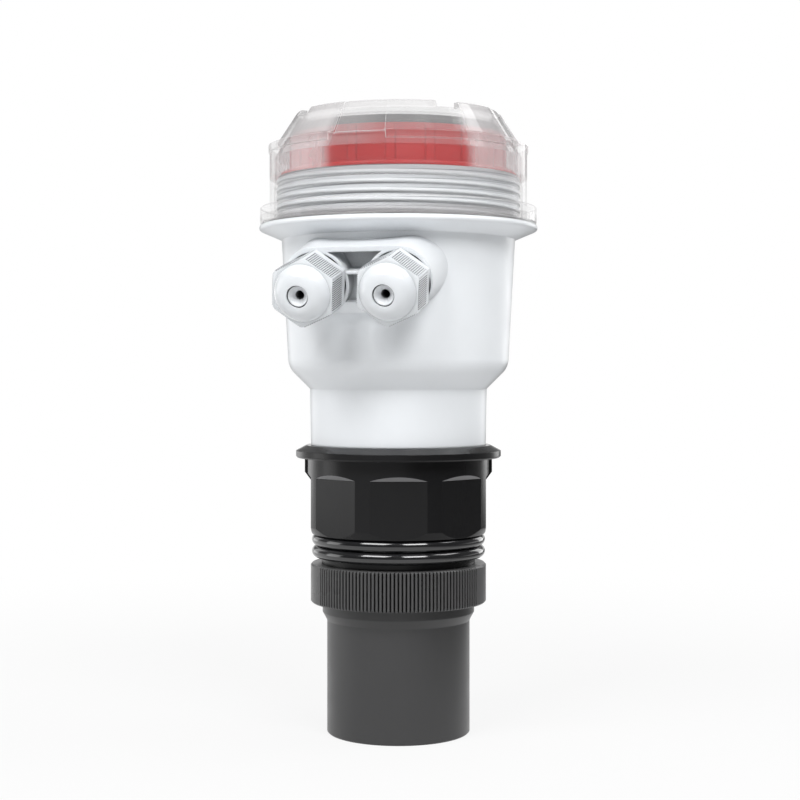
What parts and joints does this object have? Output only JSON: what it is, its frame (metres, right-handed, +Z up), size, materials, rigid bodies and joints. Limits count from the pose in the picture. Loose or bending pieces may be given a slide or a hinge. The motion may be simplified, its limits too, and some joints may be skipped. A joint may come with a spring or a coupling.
{
  "type": "liquid level sensor",
  "caption": "Ultrasonic liquid level transmitter: clear screw cover over a display module, housing with sloping cable glands, sealed process connection and sensing tube.",
  "frame": {"origin": "centre of the sensing face at the bottom of the tube", "axes": "+Z up along the instrument's axis to the clear cover; -Y is the front, where the cable glands are; +X is to the right seen from the front"},
  "size_m": [0.092, 0.1077, 0.2039],
  "materials": {
    "white_plastic": "satin moulded",
    "clear_plastic": "clear",
    "black_plastic": "satin moulded",
    "tube_plastic": "satin",
    "seal_rubber": "glossy",
    "pale_rubber": "satin",
    "red_plastic": "satin moulded",
    "grey_plastic": "matte",
    "key_rubber": "matte",
    "display_glass": "clear",
    "lcd": "matte",
    "circuit_board": "satin",
    "steel": "plain",
    "terminal_plastic": "satin",
    "electronic_part": "satin",
    "transformer": "satin",
    "capacitor": "sleeved",
    "piezo_ceramic": "fired",
    "resin": "cast",
    "cork": "matte",
    "cable_grey": "matte"
  },
  "bodies": {
    "base": {"sensor_tube": "tube_plastic", "matching_layer": "resin", "piezo_disc": "piezo_ceramic", "damping_block": "resin", "isolation_sleeve": "cork", "potting": "resin", "temperature_sensor": "electronic_part", "sensor_lead": "cable_grey", "lower_o_ring": "seal_rubber", "upper_o_ring": "seal_rubber", "connection_body": "black_plastic", "housing": "white_plastic", "display_carrier": "red_plastic", "face_plate": "grey_plastic", "display_window": "display_glass", "lcd_panel": "lcd", "display_board": "circuit_board", "key_switches": "electronic_part", "display_screws": "steel", "module_screws": "steel", "main_board": "circuit_board", "board_screws": "steel", "terminal_block": "terminal_plastic", "terminal_screws": "steel", "drive_transformer": "transformer", "capacitors": "capacitor", "board_chips": "electronic_part", "ribbon_sockets": "electronic_part", "ribbon_cable": "cable_grey", "lead_plug": "terminal_plastic", "gland_washer_left": "seal_rubber", "gland_body_left": "white_plastic", "gland_washer_right": "seal_rubber", "gland_body_right": "white_plastic"},
    "cover_lift": {"cover_seal": "pale_rubber"},
    "cover": {"clear_cover": "clear_plastic"},
    "washer": {"backing_washer": "black_plastic"},
    "ring": {"knurled_ring": "black_plastic"},
    "seal_left": {"gland_seal_left": "pale_rubber"},
    "nut_left": {"gland_nut_left": "white_plastic"},
    "seal_right": {"gland_seal_right": "pale_rubber"},
    "nut_right": {"gland_nut_right": "white_plastic"},
    "set_key": {"set_key": "key_rubber"},
    "up_key": {"up_key": "key_rubber"},
    "down_key": {"down_key": "key_rubber"}
  },
  "joints": [
    {"name": "cover_travel", "type": "slide", "parent": "base", "child": "cover_lift", "axis": [0, 0, 1], "range_m": [0, 0.0104]},
    {"name": "cover_turn", "type": "hinge", "parent": "cover_lift", "child": "cover", "pos_m": [0, 0, 0.17], "axis": [0, 0, 1], "range_deg": [0, 1441]},
    {"name": "ring_travel", "type": "slide", "parent": "base", "child": "washer", "axis": [0, 0, -1], "range_m": [0, 0.003]},
    {"name": "ring_turn", "type": "hinge", "parent": "washer", "child": "ring", "pos_m": [0, 0, 0.049], "axis": [0, 0, -1], "range_deg": [0, 721]},
    {"name": "nut_left_travel", "type": "slide", "parent": "base", "child": "seal_left", "axis": [-0.288, -0.9135, -0.2874], "range_m": [0, 0.003]},
    {"name": "nut_left_turn", "type": "hinge", "parent": "seal_left", "child": "nut_left", "pos_m": [-0.02793, -0.04337, 0.14395], "axis": [-0.288, -0.9135, -0.2874], "range_deg": [0, 721]},
    {"name": "nut_right_travel", "type": "slide", "parent": "base", "child": "seal_right", "axis": [-0.288, -0.9135, -0.2874], "range_m": [0, 0.003]},
    {"name": "nut_right_turn", "type": "hinge", "parent": "seal_right", "child": "nut_right", "pos_m": [-0.00199, -0.05155, 0.14395], "axis": [-0.288, -0.9135, -0.2874], "range_deg": [0, 721]},
    {"name": "set_key_press", "type": "slide", "parent": "base", "child": "set_key", "axis": [0, 0, -1], "range_m": [0, 0.001], "stiffness_N_per_m": 600, "springref_m": -0.0005},
    {"name": "up_key_press", "type": "slide", "parent": "base", "child": "up_key", "axis": [0, 0, -1], "range_m": [0, 0.001], "stiffness_N_per_m": 600, "springref_m": -0.0005},
    {"name": "down_key_press", "type": "slide", "parent": "base", "child": "down_key", "axis": [0, 0, -1], "range_m": [0, 0.001], "stiffness_N_per_m": 600, "springref_m": -0.0005}
  ],
  "couplings": [
    {"joint": "cover_turn", "follows": "cover_travel", "rad_per_m": 2416.6},
    {"joint": "ring_turn", "follows": "ring_travel", "rad_per_m": 4188.8},
    {"joint": "nut_left_turn", "follows": "nut_left_travel", "rad_per_m": 4188.8},
    {"joint": "nut_right_turn", "follows": "nut_right_travel", "rad_per_m": 4188.8}
  ]
}
